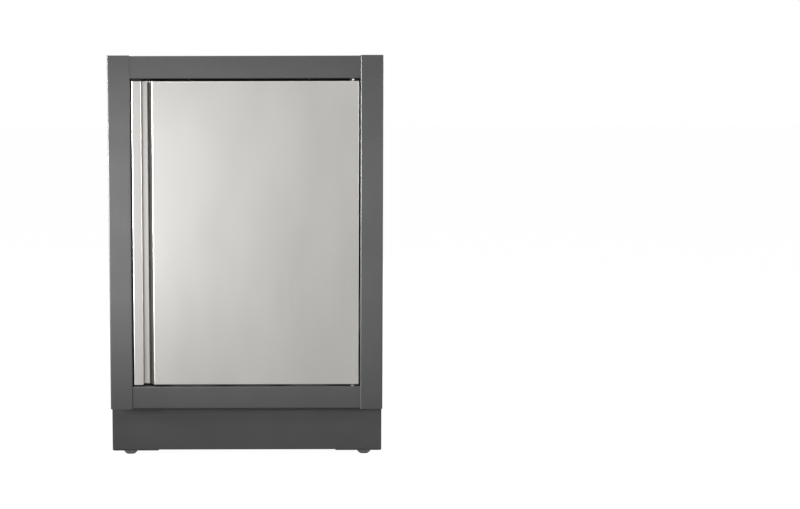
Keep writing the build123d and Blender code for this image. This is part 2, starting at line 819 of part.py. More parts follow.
# Top pivot pin with its collar, and the knob that draws it down
collar_r = 5.4
collar_t = 3.0
collar_gap = 0.3
pin_chamfer = 0.8
collar_z1 = top_ear_z - collar_gap
collar_z0 = collar_z1 - collar_t
top_pin_z1 = top_rail_z + pin_engage
top_pin_z0 = low_ear_z - ear_t - pin_below_ear
with BuildPart() as top_pivot_pin:
    with BuildSketch(at_z(top_pin_z0)):
        with Locations((hinge_x, hinge_y)):
            Circle(pin_r)
    extrude(amount=top_pin_z1 - top_pin_z0)
    chamfer(top_pivot_pin.edges().group_by(Axis.Z)[-1], pin_chamfer)
    with BuildSketch(at_z(collar_z0)):
        with Locations((hinge_x, hinge_y)):
            Circle(collar_r)
    extrude(amount=collar_t)
    with BuildSketch(facing_y(hinge_y)):
        with Locations((hinge_x, knob_z)):
            Circle(knob_r)
    extrude(amount=-(pin_r + overrun), mode=Mode.SUBTRACT)
save(top_pivot_pin, "top_pivot_pin")

with BuildPart() as top_pin_knob:
    with BuildSketch(facing_y(hinge_y)):
        with Locations((hinge_x, knob_z)):
            Circle(knob_r)
    extrude(amount=-(door_rear + knob_out - hinge_y))
    with BuildSketch(facing_y(door_rear + knob_out)):
        with Locations((hinge_x, knob_z)):
            Circle(knob_head_r)
    extrude(amount=-knob_head_l)
    chamfer(top_pin_knob.edges().group_by(Axis.Y)[-1], pin_chamfer)
save(top_pin_knob, "top_pin_knob")

# Spring between the collar and the lower ear
spring_wire_r = 0.5
spring_coil_gap = 0.5
spring_turns = 11
spring_coil_r = pin_r + spring_coil_gap + spring_wire_r
spring_z0 = low_ear_z + spring_wire_r
spring_z1 = collar_z0 - spring_wire_r
spring_pitch = (spring_z1 - spring_z0) / spring_turns
steps_per_turn = 4
places_per_turn = 24


def spring_point(turn):
    """Point on the spring's centre line."""
    return Vector(hinge_x, hinge_y, spring_z0) + Vector(spring_coil_r, 0, 0).rotate(
        Axis.Z, 360 * turn) + Vector(0, 0, spring_pitch * turn)


def spring_heading(turn):
    """Direction of the centre line there, of length 1."""
    around = Vector(0, 2 * pi * spring_coil_r, spring_pitch).rotate(Axis.Z, 360 * turn)
    return around.normalized()


with BuildPart() as top_pin_spring:
    with BuildLine() as spring_line:
        for step in range(steps_per_turn * spring_turns):
            start = step / steps_per_turn
            end = (step + 1) / steps_per_turn
            chord =spring_point(end) - spring_point(start)
            lean = spring_heading(start) + spring_heading(end)
            twist = 2 * (1 - spring_heading(start).dot(spring_heading(end)))
            slant = chord.dot(lean)
            reach = (sqrt(slant * slant + twist * chord.dot(chord)) - slant) / twist
            first = spring_point(start) + spring_heading(start) * reach
            second = spring_point(end) - spring_heading(end) * reach
            join = (first + second) / 2
            TangentArc(spring_point(start), join, tangent=spring_heading(start))
            TangentArc(join, spring_point(end), tangent=second - first)
    with BuildSketch(spring_line.line ^ 0):
        Circle(spring_wire_r)
    sweep()
turn_places = [spring_point(i / places_per_turn) for i in range(places_per_turn * spring_turns)]
half_turn = places_per_turn // 2
spring_reach = min(
    (a - b).length for i, a in enumerate(turn_places) for b in turn_places[i + half_turn:]
)
print("spring: least gap to itself", round(spring_reach - 2 * spring_wire_r, 2))
save(top_pin_spring, "top_pin_spring")

# Bottom pivot pin: its shoulder stands on the rail and carries the door
shoulder_r = 5.5
shoulder_gap = 0.1
bottom_pin_up = 18.0
bottom_pin_down = 10.0
pin_nut_flats = 9.0
pin_nut_h = 5.0
shoulder_z1 = door_z0 - bush_flange_t - shoulder_gap
rail_inside = low_rail_top - tube_wall
with BuildPart() as bottom_pivot_pin:
    with BuildSketch(at_z(rail_inside - bottom_pin_down)):
        with Locations((hinge_x, hinge_y)):
            Circle(pin_r)
    extrude(amount=bottom_pin_down + tube_wall + door_bottom_gap + bottom_pin_up)
    chamfer(bottom_pivot_pin.edges().group_by(Axis.Z)[-1], pin_chamfer)
    with BuildSketch(at_z(low_rail_top)):
        with Locations((hinge_x, hinge_y)):
            Circle(shoulder_r)
    extrude(amount=shoulder_z1 - low_rail_top)
save(bottom_pivot_pin, "bottom_pivot_pin")

with BuildPart() as bottom_pivot_nut:
    with BuildSketch(at_z(rail_inside)):
        with Locations((hinge_x, hinge_y)):
            RegularPolygon(pin_nut_flats / 2, 6, major_radius=False)
            Circle(pin_r, mode=Mode.SUBTRACT)
    extrude(amount=-pin_nut_h)
save(bottom_pivot_nut, "bottom_pivot_nut")

# Door stop: an angle down the left post, behind the door's edge
stop_gap = 3.0
stop_t = 1.5
stop_w = 24.0
stop_leg = 16.0
stop_x0 = -bay_w / 2
stop_front = door_rear + stop_gap

# Catches at two heights on the stop, bumpers at its ends
catch_l = 46.0
catch_w = 14.0
catch_depth = 11.0
catch_share = 0.3
pole_l = 36.0
pole_t = 1.5
magnet_w = 5.0
magnet_gap = 0.3
strike_t = 1.2
strike_w = 15.0
strike_l = 40.0
strike_bend_r = 3.0
bumper_r = 5.0
bumper_crown = 0.8
bumper_gap = 0.3
bumper_end = 45.0
catch_x = stop_x0 + stop_w - catch_w / 2
catch_heights = [bay_mid - catch_share * bay_h, bay_mid + catch_share * bay_h]
bumper_x = stop_x0 + stop_w / 2
bumper_heights = [low_rail_top + bumper_end, top_rail_z - bumper_end]
pole_w = 2 * pole_t + magnet_w

with BuildPart() as door_stop_angle:
    with BuildSketch(at_z(low_rail_top)):
        with BuildLine():
            Polyline(
                (stop_x0, stop_front),
                (stop_x0 + stop_w, stop_front),
                (stop_x0 + stop_w, stop_front + stop_t),
                (stop_x0 + stop_t, stop_front + stop_t),
                (stop_x0 + stop_t, stop_front + stop_leg),
                (stop_x0, stop_front + stop_leg),
                close=True,
            )
        make_face()
    extrude(amount=bay_h)
    with BuildSketch(facing_y(stop_front)):
        with Locations(*[(catch_x, z) for z in catch_heights]):
            Rectangle(pole_w, pole_l)
    extrude(amount=-stop_t, mode=Mode.SUBTRACT)
save(door_stop_angle, "door_stop_angle")

bumper_h = stop_gap - bumper_gap
with BuildPart() as door_bumpers:
    with BuildSketch(facing_y(stop_front)):
        with Locations(*[(bumper_x, z) for z in bumper_heights]):
            Circle(bumper_r)
    extrude(amount=bumper_h)
    fillet(door_bumpers.faces().group_by(Axis.Y)[0].edges(), bumper_crown)
save(door_bumpers, "door_bumpers")

catch_y = stop_front + stop_t
catch_round = 1.0
with BuildPart() as catch_housings:
    with BuildSketch(facing_y(catch_y)):
        with Locations(*[(catch_x, z) for z in catch_heights]):
            RectangleRounded(catch_w, catch_l, catch_round)
            Rectangle(pole_w, pole_l, mode=Mode.SUBTRACT)
    extrude(amount=-catch_depth)
    with BuildSketch(facing_y(catch_y + catch_depth)):
        with Locations(*[(catch_x, z) for z in catch_heights]):
            RectangleRounded(catch_w, catch_l, catch_round)
    extrude(amount=-stop_t)
save(catch_housings, "catch_housings")

# Each magnet lies between two steel poles that reach through the stop
strike_face = door_rear + strike_t
pole_front = strike_face + magnet_gap
magnet_set_back = 1.0
with BuildPart() as catch_magnets:
    for z in catch_heights:
        for side in (-1, 1):
            with BuildSketch(facing_y(pole_front)):
                with Locations((catch_x + side * (magnet_w + pole_t) / 2, z)):
                    Rectangle(pole_t, pole_l)
            extrude(amount=pole_front - catch_y - catch_depth)
        with BuildSketch(facing_y(pole_front + magnet_set_back)):
            with Locations((catch_x, z)):
                Rectangle(magnet_w, pole_l)
        extrude(amount=pole_front + magnet_set_back - catch_y - catch_depth)
save(catch_magnets, "catch_magnets")

# Strike plates on the door's back
with BuildPart() as strike_plates:
    with BuildSketch(facing_y(door_rear)):
        with Locations(*[(catch_x, z) for z in catch_heights]):
            RectangleRounded(strike_w, strike_l, strike_bend_r)
    extrude(amount=-strike_t)
save(strike_plates, "strike_plates")
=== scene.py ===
import math

import bmesh
import bpy
from mathutils import Matrix, Vector


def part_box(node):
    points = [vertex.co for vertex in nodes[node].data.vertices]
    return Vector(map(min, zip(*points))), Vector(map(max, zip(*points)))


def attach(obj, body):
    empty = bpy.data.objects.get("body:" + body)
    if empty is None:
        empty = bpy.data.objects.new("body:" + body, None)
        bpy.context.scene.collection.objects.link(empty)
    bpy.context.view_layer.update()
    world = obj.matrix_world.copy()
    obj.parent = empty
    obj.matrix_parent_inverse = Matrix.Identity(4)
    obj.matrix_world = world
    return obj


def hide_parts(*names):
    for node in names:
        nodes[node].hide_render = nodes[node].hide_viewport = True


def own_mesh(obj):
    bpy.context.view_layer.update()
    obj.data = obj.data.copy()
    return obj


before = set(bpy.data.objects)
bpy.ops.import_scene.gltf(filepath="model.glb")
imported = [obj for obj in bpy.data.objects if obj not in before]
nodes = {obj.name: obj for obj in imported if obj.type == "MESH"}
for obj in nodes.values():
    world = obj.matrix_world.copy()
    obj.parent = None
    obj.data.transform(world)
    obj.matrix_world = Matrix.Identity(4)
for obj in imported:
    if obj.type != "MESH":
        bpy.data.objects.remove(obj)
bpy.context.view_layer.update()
MM = 0.001

# Posts and rails: square tube of mild steel, butted together and welded in the inner corners.
# The whole frame is then powder coated: a charcoal polyester with a satin skin, whose fine
# orange peel softens every reflection.
COAT_DARK = "#464647"
COAT_LIGHT = "#4A4A4B"
COAT_CLOUD_MM = 70
COAT_PEEL_MM = 1.4
COAT_PEEL_DEPTH_MM = 0.05
COAT_PEEL_STRENGTH = 0.25
COAT_ROUGHNESS = (0.27, 0.35)
MOTTLE_LOW = 0.3
MOTTLE_HIGH = 0.7
SOFT_DETAIL = 2.0
SIDES = ("left", "right")
RUNS = ("front", "rear", "left", "right")
BEAD_R_MM = 1.2
BEAD_INSET_MM = 2.5
RIPPLE_MM = 1.5
RIPPLE_SQUASH = (0.8, 0.8, 0.7)
RIPPLE_FULL = (1.0, 1.0, 0.9)
RIPPLE_SEGMENTS = 8
RIPPLE_RINGS = 5
WELD_SEED = 11


def linear(colour):
    """Linear RGBA of an sRGB hex colour."""
    parts = [int(colour[i:i + 2], 16) / 255 for i in (1, 3, 5)]
    return [c / 12.92 if c <= 0.04045 else ((c + 0.055) / 1.055) ** 2.4 for c in parts] + [1.0]


def add_node(tree, kind, settings=None, inputs=None):
    """Adds a node, with its settings, and fills or links its inputs."""
    node = tree.nodes.new(kind)
    for name, value in (settings or {}).items():
        setattr(node, name, value)
    for name, value in (inputs or {}).items():
        if isinstance(value, bpy.types.NodeSocket):
            tree.links.new(value, node.inputs[name])
        else:
            node.inputs[name].default_value = value
    return node


def new_material(name):
    """An empty node material and its Principled shader, linked to the output."""
    material = bpy.data.materials.new(name)
    material.use_nodes = True
    tree = material.node_tree
    tree.nodes.clear()
    shader = add_node(tree, "ShaderNodeBsdfPrincipled")
    add_node(tree, "ShaderNodeOutputMaterial", inputs={"Surface": shader.outputs["BSDF"]})
    return material, tree, shader


def mottle(tree, size_mm, detail=SOFT_DETAIL, stretch=(1, 1, 1)):
    """Uneven pattern with patches size_mm across, longer along an axis by its stretch."""
    where = add_node(tree, "ShaderNodeTexCoord").outputs["Object"]
    scale = [1 / (size_mm * MM * s) for s in stretch]
    placed = add_node(tree, "ShaderNodeMapping", inputs={"Vector": where, "Scale": scale})
    patches = add_node(tree, "ShaderNodeTexNoise", inputs={
        "Vector": placed.outputs["Vector"], "Scale": 1.0, "Detail": detail})
    return patches.outputs["Fac"]


def finish_surface(tree, shader, cloud, colours, grain, roughness, depth_mm, strength):
    """Two colours that follow a cloud, and a roughness and a relief that follow a grain."""
    tint = add_node(tree, "ShaderNodeValToRGB", inputs={"Fac": cloud})
    for stop, place, colour in zip(tint.color_ramp.elements, (MOTTLE_LOW, MOTTLE_HIGH), colours):
        stop.position = place
        stop.color = linear(colour)
    gloss = add_node(tree, "ShaderNodeMapRange", inputs={
        "Value": grain, "From Min": MOTTLE_LOW, "From Max": MOTTLE_HIGH,
        "To Min": roughness[0], "To Max": roughness[1]})
    relief = add_node(tree, "ShaderNodeBump", inputs={
        "Height": grain, "Strength": strength, "Distance": depth_mm * MM})
    tree.links.new(tint.outputs["Color"], shader.inputs["Base Color"])
    tree.links.new(gloss.outputs["Result"], shader.inputs["Roughness"])
    tree.links.new(relief.outputs["Normal"], shader.inputs["Normal"])


def finish_nodes(material, *names):
    """Gives CAD nodes a material in their own slots."""
    for name in names:
        slots = nodes[name].material_slots
        if not slots:
            nodes[name].data.materials.append(material)
        for place in slots:
            place.material = material


def new_object(name, data):
    """A new object of the scene, at the origin."""
    made = bpy.data.objects.new(name, data)
    bpy.context.scene.collection.objects.link(made)
    return made


def new_tree(name, *sockets):
    """An empty Geometry Nodes tree, and the outputs of its named inputs."""
    tree = bpy.data.node_groups.new(name, "GeometryNodeTree")
    for way in ("OUTPUT", "INPUT"):
        tree.interface.new_socket("Geometry", in_out=way, socket_type="NodeSocketGeometry")
    for socket, kind in sockets:
        tree.interface.new_socket(socket, in_out="INPUT", socket_type=kind)
    return tree, add_node(tree, "NodeGroupInput").outputs


def end_tree(tree, instances, finish):
    """Ends a tree: instances made real and given their finish."""
    real = add_node(tree, "GeometryNodeRealizeInstances", inputs={"Geometry": instances})
    done = add_node(tree, "GeometryNodeSetMaterial", inputs={
        "Geometry": real.outputs["Geometry"], "Material": finish})
    add_node(tree, "NodeGroupOutput", inputs={"Geometry": done.outputs["Geometry"]})


def grow(name, start, tree, **values):
    """Runs a tree on a start mesh and keeps the result as a plain mesh in a new object."""
    piece = new_object(name, start)
    modifier = piece.modifiers.new(tree.name, "NODES")
    modifier.node_group = tree
    for socket in tree.interface.items_tree:
        if socket.in_out == "INPUT" and socket.name in values:
            modifier[socket.identifier] = values[socket.name]
    seen = bpy.context.evaluated_depsgraph_get()
    piece.data = bpy.data.meshes.new_from_object(
        piece.evaluated_get(seen), preserve_all_data_layers=True, depsgraph=seen)
    piece.modifiers.remove(modifier)
    for slot in reversed(range(len(piece.data.materials))):
        if piece.data.materials[slot] is None:
            piece.data.materials.pop(index=slot)
    return piece


powder_coat, tree, shader = new_material("charcoal_polyester_powder_coat")
finish_surface(tree, shader, mottle(tree, COAT_CLOUD_MM), (COAT_DARK, COAT_LIGHT),
               mottle(tree, COAT_PEEL_MM), COAT_ROUGHNESS, COAT_PEEL_DEPTH_MM,
               COAT_PEEL_STRENGTH)
finish_nodes(powder_coat, *[f"{end}_post_{side}" for end in ("front", "rear") for side in SIDES])
finish_nodes(powder_coat, *[f"{run}_rail_{level}" for run in RUNS for level in ("top", "bottom")])

weld_tree, given = new_tree(
    "weld_bead", ("Bead radius", "NodeSocketFloat"), ("Ripple pitch", "NodeSocketFloat"),
    ("Seed", "NodeSocketInt"), ("Finish", "NodeSocketMaterial"))
line = add_node(weld_tree, "GeometryNodeMeshToCurve", inputs={"Mesh": given["Geometry"]})
steps = add_node(weld_tree, "GeometryNodeResampleCurve", {"mode": "LENGTH"}, {
    "Curve": line.outputs["Curve"], "Length": given["Ripple pitch"]})
ripple = add_node(weld_tree, "GeometryNodeMeshUVSphere", inputs={
    "Segments": RIPPLE_SEGMENTS, "Rings": RIPPLE_RINGS, "Radius": given["Bead radius"]})
uneven = add_node(weld_tree, "FunctionNodeRandomValue", {"data_type": "FLOAT_VECTOR"}, {
    0: RIPPLE_SQUASH, 1: RIPPLE_FULL, "Seed": given["Seed"]})
ripples = add_node(weld_tree, "GeometryNodeInstanceOnPoints", inputs={
    "Points": steps.outputs["Curve"], "Instance": ripple.outputs["Mesh"],
    "Scale": uneven.outputs[0]})
end_tree(weld_tree, ripples.outputs["Instances"], given["Finish"])

bead_lines = []
for level in ("top", "bottom"):
    for run, across in (("front", 0), ("rear", 0), ("left", 1), ("right", 1)):
        low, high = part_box(f"{run}_rail_{level}")
        inner = min((low, high), key=lambda corner: abs(corner[1 - across]))[1 - across]
        for end in (low[across], high[across]):
            x, y = (end, inner) if across == 0 else (inner, end)
            bead_lines.append(((x, y, low[2] + BEAD_INSET_MM * MM),
                               (x, y, high[2] - BEAD_INSET_MM * MM)))
bead_mesh = bpy.data.meshes.new("weld_lines")
bead_mesh.from_pydata([point for ends in bead_lines for point in ends],
                      [(2 * i, 2 * i + 1) for i in range(len(bead_lines))], [])
corner_welds = grow("corner_welds", bead_mesh, weld_tree, **{
    "Bead radius": BEAD_R_MM * MM, "Ripple pitch": RIPPLE_MM * MM, "Seed": WELD_SEED,
    "Finish": powder_coat})
corner_welds.data.shade_smooth()
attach(corner_welds, "cabinet")

# Caps on the posts' ends: squares that a laser cuts from steel sheet. They are pressed in flush
# and coated with the frame.
finish_nodes(powder_coat, "post_end_caps")

# Panels: pressed sheet trays set back between the posts and rails, coated with the frame.
# Each is held through its flanges by blind rivets of zinc-plated steel, whose domed heads face
# the inside. The pulled mandrel leaves a hole in each head with its broken end below.
RIVET_HEAD_MM = 1.2
RIVET_RINGS_MM = (
    (-5.5, 1.6), (-5.2, 2.3), (-4.4, 2.8), (-3.4, 2.7), (-2.8, 2.0), (-0.05, 2.0), (-0.05, 3.85),
    (0.15, 4.0), (0.45, 3.8), (0.85, 3.0), (1.1, 2.1), (1.2, 1.5), (1.12, 1.25), (0.5, 1.2),
    (0.45, 1.0), (0.55, 0.55),
)
FIXING_SIDES = 24
SHARP_DEG = 32
MERGE_MM = 0.001
PANEL_RIVET_SEED = 21
FINE_DETAIL = 3.0
ZINC_DARK = "#9A9C9E"
ZINC_LIGHT = "#B4B6B8"
ZINC_CLOUD_MM = 6
ZINC_GRAIN_MM = 0.7
ZINC_GRAIN_DEPTH_MM = 0.02
ZINC_GRAIN_STRENGTH = 0.15
ZINC_ROUGHNESS = (0.26, 0.4)


def ringed(name, points, sides, sharp_deg):
    """Closed mesh of rings of points, each joined to the next, with a cap at both ends."""
    last = len(points) - sides
    faces = [(ring + side, ring + (side + 1) % sides,
              ring + sides + (side + 1) % sides, ring + sides + side)
             for ring in range(0, last, sides) for side in range(sides)]
    faces.append(tuple(reversed(range(sides))))
    faces.append(tuple(range(last, last + sides)))
    mesh = bpy.data.meshes.new(name)
    mesh.from_pydata(points, [], faces)
    mesh.shade_smooth()
    mesh.set_sharp_from_angle(angle=math.radians(sharp_deg))
    return mesh


def turned(name, rings, sides=FIXING_SIDES):
    """Closed mesh turned on Z from rings in mm: a height, and a radius or its rule by angle."""
    points = []
    for height, reach in rings:
        for side in range(sides):
            angle = 2 * math.pi * side / sides
            r = reach(angle) if callable(reach) else reach
            points.append((r * math.cos(angle) * MM, r * math.sin(angle) * MM, height * MM))
    return ringed(name, points, sides, SHARP_DEG)


def solids(name):
    """Lowest and highest corner of each separate solid of a CAD node."""
    copy = bmesh.new()
    copy.from_mesh(nodes[name].data)
    bmesh.ops.remove_doubles(copy, verts=copy.verts, dist=MERGE_MM * MM)
    left = set(copy.verts)
    boxes = []
    while left:
        found = [left.pop()]
        reached = list(found)
        while found:
            for edge in found.pop().link_edges:
                for vert in edge.verts:
                    if vert in left:
                        left.remove(vert)
                        found.append(vert)
                        reached.append(vert)
        boxes.append(tuple(Vector(pick(v.co[i] for v in reached) for i in range(3))
                           for pick in (min, max)))
    copy.free()
    return sorted(boxes, key=lambda corners: tuple(round(c / MM) for c in corners[0]))


fixing_tree, given = new_tree(
    "fixings", ("Piece", "NodeSocketObject"), ("Seed", "NodeSocketInt"),
    ("Finish", "NodeSocketMaterial"))
facing = add_node(fixing_tree, "GeometryNodeInputNamedAttribute", {"data_type": "FLOAT_VECTOR"}, {
    "Name": "facing"})
upright = add_node(fixing_tree, "FunctionNodeAlignRotationToVector", {"axis": "Z"}, {
    "Vector": facing.outputs[0]})
spin = add_node(fixing_tree, "FunctionNodeRandomValue", {"data_type": "FLOAT"}, {
    2: 0.0, 3: 2 * math.pi, "Seed": given["Seed"]})
turn = add_node(fixing_tree, "FunctionNodeAxisAngleToRotation", inputs={
    "Axis": (0, 0, 1), "Angle": spin.outputs[1]})
driven = add_node(fixing_tree, "FunctionNodeRotateRotation", {"rotation_space": "LOCAL"}, {
    "Rotation": upright.outputs["Rotation"], "Rotate By": turn.outputs["Rotation"]})
fixing = add_node(fixing_tree, "GeometryNodeObjectInfo", inputs={"Object": given["Piece"]})
fixed = add_node(fixing_tree, "GeometryNodeInstanceOnPoints", inputs={
    "Points": given["Geometry"], "Instance": fixing.outputs["Geometry"],
    "Rotation": driven.outputs["Rotation"]})
end_tree(fixing_tree, fixed.outputs["Instances"], given["Finish"])


def fix(name, shape, places, finish, seed, body):
    """Sets one shape at each place, a point and the way it faces, as one piece of a body."""
    start = bpy.data.meshes.new(name)
    start.from_pydata([place for place, way in places], [], [])
    ways = start.attributes.new("facing", "FLOAT_VECTOR", "POINT")
    for value, (place, way) in zip(ways.data, places):
        value.vector = way
    sample = new_object(shape.name, shape)
    piece = grow(name, start, fixing_tree, Piece=sample, Seed=seed, Finish=finish)
    bpy.data.objects.remove(sample)
    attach(piece, body)
    return piece


def rivet_places(name, middle):
    """Where a node's rivets sit: on the face towards the middle, along their shortest side."""
    places = []
    for low, high in solids(name):
        size = high - low
        axis = min(range(3), key=lambda i: size[i])
        way = Vector((0, 0, 0))
        way[axis] = math.copysign(1, middle[axis] - (low[axis] + high[axis]) / 2)
        place = (low + high) / 2
        place[axis] = (high if way[axis] > 0 else low)[axis] - way[axis] * RIVET_HEAD_MM * MM
        places.append((place, way))
    return places


def plated_steel(name, dark, light):
    """Plated steel: a cloudy colour, and the grain of the plating, drawn coarser to show."""
    material, tree, shader = new_material(name)
    finish_surface(tree, shader, mottle(tree, ZINC_CLOUD_MM, FINE_DETAIL), (dark, light),
                   mottle(tree, ZINC_GRAIN_MM, FINE_DETAIL), ZINC_ROUGHNESS, ZINC_GRAIN_DEPTH_MM,
                   ZINC_GRAIN_STRENGTH)
    shader.inputs["Metallic"].default_value = 1.0
    return material


zinc_plate = plated_steel("zinc_plated_steel", ZINC_DARK, ZINC_LIGHT)

finish_nodes(powder_coat, "side_panel_left", "side_panel_right", "back_panel", "floor_panel")
low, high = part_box("back_panel")
inside = Vector((0, 0, (low[2] + high[2]) / 2))
blind_rivet = turned("blind_rivet", RIVET_RINGS_MM)
panel_fixings = fix("panel_blind_rivets", blind_rivet, rivet_places("panel_rivets", inside),
                    zinc_plate, PANEL_RIVET_SEED, "cabinet")
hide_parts("panel_rivets")

# Grommets in the side panels: turned EPDM rubber snapped into a hole, so that a gas hose does
# not rub on the sheet. The rubber is matt, with the grain of its mould, drawn coarser to show.
RUBBER_DARK = "#121213"
RUBBER_LIGHT = "#1A1A1B"
RUBBER_GRAIN_MM = 0.9
RUBBER_GRAIN_DEPTH_MM = 0.05
RUBBER_GRAIN_STRENGTH = 0.3
RUBBER_ROUGHNESS = (0.7, 0.88)
RUBBER_SPECULAR = 0.4
rubber, tree, shader = new_material("epdm_rubber")
mould_grain = mottle(tree, RUBBER_GRAIN_MM, FINE_DETAIL)
finish_surface(tree, shader, mould_grain, (RUBBER_DARK, RUBBER_LIGHT), mould_grain,
               RUBBER_ROUGHNESS, RUBBER_GRAIN_DEPTH_MM, RUBBER_GRAIN_STRENGTH)
shader.inputs["Specular IOR Level"].default_value = RUBBER_SPECULAR
finish_nodes(rubber, "hose_grommet_left", "hose_grommet_right")

# Ring that the tank stands in: spun mild steel, coated with the frame. Four button-head screws
# of zinc-plated steel hold it to the floor panel; each head has a hexagon socket.
SCREW_HEAD_MM = 2.6
SOCKET_FLATS_MM = 3.0
SOCKET_FLOOR_MM = 1.2
SOCKET_FLOOR_R_MM = 0.4
RING_SCREW_SEED = 31


def hexagon(flats):
    """Rule for the radius of a hexagon with its corners on X, from its width across flats."""
    return lambda angle: flats / 2 / math.cos(angle % (math.pi / 3) - math.pi / 6)


socket = hexagon(SOCKET_FLATS_MM)
button_screw = turned("button_head_screw", (
    (-10.8, 1.9), (-10.0, 2.5), (-0.05, 2.5), (-0.05, 4.4), (0.2, 4.6), (0.7, 4.55), (1.4, 4.1),
    (2.0, 3.4), (2.45, 2.6), (SCREW_HEAD_MM, 2.1), (SCREW_HEAD_MM, socket),
    (SOCKET_FLOOR_MM, socket), (SOCKET_FLOOR_MM, SOCKET_FLOOR_R_MM),
))
finish_nodes(powder_coat, "tank_ring")
ring_screws = fix(
    "ring_button_screws", button_screw,
    [(Vector(((low.x + high.x) / 2, (low.y + high.y) / 2, high.z - SCREW_HEAD_MM * MM)), (0, 0, 1))
     for low, high in solids("tank_ring_screws")],
    zinc_plate, RING_SCREW_SEED, "cabinet")
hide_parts("tank_ring_screws")

# Plinth: four folded channels of mild steel, set back at the front for toes and coated with the
# frame. Flat brackets under its corners carry the feet, and blind rivets hold them from below.
CORNERS = ("front_left", "front_right", "rear_left", "rear_right")
BRACKET_RIVET_SEED = 41
finish_nodes(powder_coat, "kick_plate", "plinth_left", "plinth_right", "plinth_rear")
finish_nodes(powder_coat, *[f"foot_bracket_{corner}" for corner in CORNERS])
under = Vector((0, 0, -1))
bracket_fixings = fix("bracket_blind_rivets", blind_rivet, rivet_places("bracket_rivets", under),
                      zinc_plate, BRACKET_RIVET_SEED, "cabinet")
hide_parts("bracket_rivets")

# Levelling feet: an M10 zinc-plated steel screw with a thick hexagon to turn it by runs in a
# hexagon nut welded to the bracket. Its zinc is painted darker, as painted shade for the shade
# under the plinth. It stands on a glide of moulded black nylon, which has a low sheen and its
# mould's fine spark grain, drawn a few times coarser to show.
# Painted shade: the feet's zinc colours are darker than bare plating, for the shade under the
# plinth
FOOT_SHADE_DARK = "#626365"
FOOT_SHADE_LIGHT = "#727375"
STEM_MM = 40.0
SCREW_TIP_MM = 1.0
SCREW_SIDES = 36
HEX_FLATS_MM = 25.4
HEX_FACE_INSET_MM = 0.4
CONE_MID_MM = 0.5
CONE_MID_PROUD_MM = 0.6
CONE_END_MM = 1.1
THREAD_PITCH_MM = 1.5
THREAD_R_MM = 5.0
THREAD_ROOT_R_MM = 4.08
THREAD_STEPS = 8
THREAD_CREST_SHARE = 1 / 16
THREAD_FLANK_SHARE = 5 / 16
PILOT_R_MM = 3.0
GLIDE_TOP_MM = 2.1
NYLON_DARK = "#18181A"
NYLON_LIGHT = "#202022"
NYLON_GRAIN_MM = 0.5
NYLON_GRAIN_DEPTH_MM = 0.03
NYLON_GRAIN_STRENGTH = 0.2
NYLON_ROUGHNESS = (0.42, 0.56)


def thread(height):
    """Rule for a right-hand thread's radius at a height."""
    def reach(angle):
        turn_share = (height - THREAD_PITCH_MM * angle / (2 * math.pi)) / THREAD_PITCH_MM % 1
        down = (abs(turn_share - 0.5) - THREAD_CREST_SHARE) / THREAD_FLANK_SHARE
        return THREAD_R_MM - (THREAD_R_MM - THREAD_ROOT_R_MM) * min(1, max(0, down))
    return reach


def within(reach, limit):
    """Rule for a radius that a cone of that radius cuts back."""
    return lambda angle: min(reach(angle), limit)


nylon, tree, shader = new_material("moulded_black_nylon")
spark_grain = mottle(tree, NYLON_GRAIN_MM)
finish_surface(tree, shader, spark_grain, (NYLON_DARK, NYLON_LIGHT), spark_grain,
               NYLON_ROUGHNESS, NYLON_GRAIN_DEPTH_MM, NYLON_GRAIN_STRENGTH)

# Zinc darkened as painted shade, for the feet and the pivot pins
shade_darkened_zinc = plated_steel("dark_passivated_zinc", FOOT_SHADE_DARK, FOOT_SHADE_LIGHT)
hex_edge = hexagon(HEX_FLATS_MM)
half_flats = HEX_FLATS_MM / 2
hex_end = ((0, half_flats - HEX_FACE_INSET_MM),
           (CONE_MID_MM, within(hex_edge, half_flats + CONE_MID_PROUD_MM)),
           (CONE_END_MM, hex_edge))
thread_steps = int((STEM_MM - SCREW_TIP_MM) * THREAD_STEPS / THREAD_PITCH_MM)
for corner in CORNERS:
    low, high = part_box(f"foot_screw_{corner}")
    screw_low, screw_top = low[2] / MM, high[2] / MM
    hex_top = screw_top - STEM_MM
    thread_heights = [hex_top + step * THREAD_PITCH_MM / THREAD_STEPS
                      for step in range(1, thread_steps)]
    levelling_screw = turned(f"levelling_screw_{corner}", [
        (screw_low, PILOT_R_MM), (GLIDE_TOP_MM, PILOT_R_MM),
        *[(GLIDE_TOP_MM + up, reach) for up, reach in hex_end],
        *[(hex_top - down, reach) for down, reach in reversed(hex_end)],
        (hex_top, THREAD_ROOT_R_MM),
        *[(height, thread(height)) for height in thread_heights],
        (screw_top - SCREW_TIP_MM, THREAD_ROOT_R_MM), (screw_top, THREAD_ROOT_R_MM - SCREW_TIP_MM),
    ], SCREW_SIDES)
    levelling_screw.transform(
        Matrix.Translation(((low[0] + high[0]) / 2, (low[1] + high[1]) / 2, 0)))
    levelling_screw.materials.append(shade_darkened_zinc)
    piece = new_object(levelling_screw.name, levelling_screw)
    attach(piece, f"screw_{corner}")
    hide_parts(f"foot_screw_{corner}")
finish_nodes(zinc_plate, "foot_nuts")
finish_nodes(nylon, *[f"foot_glide_{corner}" for corner in CORNERS])

